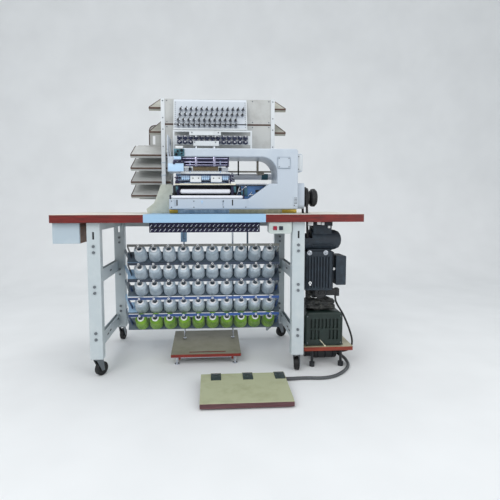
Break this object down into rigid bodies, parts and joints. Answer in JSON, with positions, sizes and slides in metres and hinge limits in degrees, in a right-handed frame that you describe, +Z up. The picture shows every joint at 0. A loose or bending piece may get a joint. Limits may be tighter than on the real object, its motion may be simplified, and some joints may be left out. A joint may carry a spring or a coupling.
{
  "type": "smocking machine",
  "caption": "Multi-needle smocking machine on a castered table, with thread racks, a cone creel under the table, motors and a foot pedal",
  "frame": {"origin": "on the floor, at the middle of the set's width and depth without its cords", "axes": "+X to the operator's right along the table, +Y away from the operator, +Z up"},
  "size_m": [1.5, 0.985, 1.442],
  "materials": {
    "red_edge_board": "laminated wood with a red-brown edge",
    "painted_sheet": "pale blue paint on folded sheet",
    "leg_paint": "pale grey-blue paint",
    "head_paint": "pale blue hammered paint",
    "head_iron": "pale blue hammered paint on cast iron",
    "grey_board": "warm grey painted board",
    "white_paint": "white paint",
    "dark_steel": "blackened steel",
    "bright_steel": "chromed steel",
    "zinc_bolts": "zinc plated",
    "roller_cover": "white plastic roller cover",
    "grey_thread": "wound thread on a cone",
    "green_thread": "wound thread on a cone",
    "creel_paint": "light blue paint",
    "rail_paint": "blue paint",
    "motor_paint": "dark slate paint on cast iron",
    "blower_paint": "dark green paint",
    "black_rubber": "black rubber",
    "black_cast": "black cast iron",
    "black_sheet": "black painted sheet",
    "duct_fabric": "grey coated cloth",
    "pedal_top": "laminated board",
    "treadle_top": "laminated board",
    "drawer_wood": "varnished wood",
    "drawer_front": "grey painted board",
    "switch_case": "cream moulded plastic",
    "red_button": "red moulded plastic",
    "dark_button": "dark moulded plastic"
  },
  "bodies": {
    "table_and_head": {"table_left_wing": "red_edge_board", "table_right_wing": "red_edge_board", "centre_tray": "painted_sheet", "leg_front_left": "leg_paint", "leg_front_right": "leg_paint", "leg_rear_left": "leg_paint", "leg_rear_right": "leg_paint", "leg_bolts": "zinc_bolts", "leg_braces": "leg_paint", "drawer_case": "drawer_wood", "switch_box": "switch_case", "creel_frames": "creel_paint", "eyelet_rails": "rail_paint", "grey_cones": "grey_thread", "green_cones": "green_thread", "looper_tension_bank": "dark_steel", "head_casting": "head_iron", "head_covers": "head_paint", "cloth_plate": "bright_steel", "roller_brackets": "dark_steel", "needle_bar_guides": "dark_steel", "rack_posts": "white_paint", "lower_shelves": "grey_board", "upper_shelves": "grey_board", "rack_panels": "grey_board", "tension_panel": "painted_sheet", "thread_guide_frame": "white_paint", "drive_belt": "black_rubber", "main_motor": "motor_paint", "finned_housing": "motor_paint", "control_box": "motor_paint", "motor_duct": "duct_fabric", "blower_motor": "blower_paint", "motor_platform": "pedal_top", "air_tank": "black_sheet", "treadle_stand": "bright_steel", "pedal_base": "drawer_wood", "floor_hose": "black_rubber", "power_cable": "black_rubber"},
    "drawer_body": {"drawer": "drawer_front"},
    "fork_front_left": {"caster_fork_front_left": "zinc_bolts"},
    "wheel_front_left": {"caster_wheel_front_left": "black_rubber"},
    "fork_front_right": {"caster_fork_front_right": "zinc_bolts"},
    "wheel_front_right": {"caster_wheel_front_right": "black_rubber"},
    "fork_rear_left": {"caster_fork_rear_left": "zinc_bolts"},
    "wheel_rear_left": {"caster_wheel_rear_left": "black_rubber"},
    "fork_rear_right": {"caster_fork_rear_right": "zinc_bolts"},
    "wheel_rear_right": {"caster_wheel_rear_right": "black_rubber"},
    "handwheel_body": {"handwheel": "black_cast"},
    "motor_pulley_body": {"motor_pulley": "dark_steel"},
    "feed_roller_body": {"feed_roller": "roller_cover"},
    "takeup_roller_body": {"takeup_roller": "roller_cover"},
    "rear_puller_body": {"rear_puller": "roller_cover"},
    "needle_bar_body": {"needle_bar": "bright_steel"},
    "treadle_body": {"treadle": "treadle_top"},
    "rod_body": {"treadle_rods": "bright_steel"},
    "presser_body": {"presser_foot": "bright_steel"},
    "pedal_body": {"pedal_lid": "pedal_top"},
    "start_body": {"start_button": "red_button"},
    "stop_body": {"stop_button": "dark_button"}
  },
  "joints": [
    {"name": "drawer_slide", "type": "slide", "parent": "table_and_head", "child": "drawer_body", "axis": [0, -1, 0], "range_m": [0, 0.2]},
    {"name": "swivel_front_left", "type": "hinge", "parent": "table_and_head", "child": "fork_front_left", "pos_m": [-0.554, -0.114, 0.1], "axis": [0, 0, 1], "continuous": true},
    {"name": "roll_front_left", "type": "hinge", "parent": "fork_front_left", "child": "wheel_front_left", "pos_m": [-0.54253, -0.09762, 0.034], "axis": [0.8192, -0.5736, 0], "continuous": true},
    {"name": "swivel_front_right", "type": "hinge", "parent": "table_and_head", "child": "fork_front_right", "pos_m": [0.431, -0.114, 0.1], "axis": [0, 0, 1], "continuous": true},
    {"name": "roll_front_right", "type": "hinge", "parent": "fork_front_right", "child": "wheel_front_right", "pos_m": [0.43784, -0.09521, 0.034], "axis": [0.9397, -0.342, 0], "continuous": true},
    {"name": "swivel_rear_left", "type": "hinge", "parent": "table_and_head", "child": "fork_rear_left", "pos_m": [-0.554, 0.434, 0.1], "axis": [0, 0, 1], "continuous": true},
    {"name": "roll_rear_left", "type": "hinge", "parent": "fork_rear_left", "child": "wheel_rear_left", "pos_m": [-0.55122, 0.45381, 0.034], "axis": [0.9903, -0.1392, 0], "continuous": true},
    {"name": "swivel_rear_right", "type": "hinge", "parent": "table_and_head", "child": "fork_rear_right", "pos_m": [0.431, 0.434, 0.1], "axis": [0, 0, 1], "continuous": true},
    {"name": "roll_rear_right", "type": "hinge", "parent": "fork_rear_right", "child": "wheel_rear_right", "pos_m": [0.44832, 0.444, 0.034], "axis": [0.5, -0.866, 0], "continuous": true},
    {"name": "handwheel_turn", "type": "hinge", "parent": "table_and_head", "child": "handwheel_body", "pos_m": [0.5, 0.0375, 0.876], "axis": [1, 0, 0], "continuous": true},
    {"name": "motor_pulley_turn", "type": "hinge", "parent": "table_and_head", "child": "motor_pulley_body", "pos_m": [0.497, -0.0025, 0.657], "axis": [1, 0, 0], "continuous": true},
    {"name": "feed_roller_turn", "type": "hinge", "parent": "table_and_head", "child": "feed_roller_body", "pos_m": [-0.023, -0.0305, 0.907], "axis": [1, 0, 0], "continuous": true},
    {"name": "takeup_roller_turn", "type": "hinge", "parent": "table_and_head", "child": "takeup_roller_body", "pos_m": [-0.014, -0.0505, 0.8785], "axis": [1, 0, 0], "continuous": true},
    {"name": "rear_puller_turn", "type": "hinge", "parent": "table_and_head", "child": "rear_puller_body", "pos_m": [0.225, 0.1875, 0.995], "axis": [1, 0, 0], "continuous": true},
    {"name": "needle_stroke", "type": "slide", "parent": "table_and_head", "child": "needle_bar_body", "axis": [0, 0, 1], "range_m": [-0.026, 0]},
    {"name": "treadle_tilt", "type": "hinge", "parent": "table_and_head", "child": "treadle_body", "pos_m": [-0.026, 0.0155, 0.034], "axis": [1, 0, 0], "range_deg": [-4, 0], "stiffness_Nm_per_rad": 40, "springref_deg": 5.73},
    {"name": "rod_travel", "type": "slide", "parent": "table_and_head", "child": "rod_body", "axis": [0, 0, 1], "range_m": [-0.0112, 0]},
    {"name": "presser_lift", "type": "slide", "parent": "table_and_head", "child": "presser_body", "axis": [0, 0, 1], "range_m": [0, 0.0047]},
    {"name": "pedal_press", "type": "hinge", "parent": "table_and_head", "child": "pedal_body", "pos_m": [0.148, -0.229, 0.0415], "axis": [1, 0, 0], "range_deg": [0, 0.7], "stiffness_Nm_per_rad": 80, "springref_deg": -2.01},
    {"name": "start_press", "type": "slide", "parent": "table_and_head", "child": "start_body", "axis": [0, 1, 0], "range_m": [0, 0.003], "stiffness_N_per_m": 400, "springref_m": -0.002},
    {"name": "stop_press", "type": "slide", "parent": "table_and_head", "child": "stop_body", "axis": [0, 1, 0], "range_m": [0, 0.003], "stiffness_N_per_m": 400, "springref_m": -0.002}
  ],
  "couplings": [
    {"joint": "motor_pulley_turn", "follows": "handwheel_turn", "ratio": 1.3351},
    {"joint": "feed_roller_turn", "follows": "handwheel_turn", "ratio": -0.027679},
    {"joint": "takeup_roller_turn", "follows": "handwheel_turn", "ratio": -0.039789},
    {"joint": "rear_puller_turn", "follows": "handwheel_turn", "ratio": -0.019894},
    {"joint": "rod_travel", "follows": "treadle_tilt", "m_per_rad": 0.158},
    {"joint": "presser_lift", "follows": "treadle_tilt", "m_per_rad": -0.0645}
  ]
}
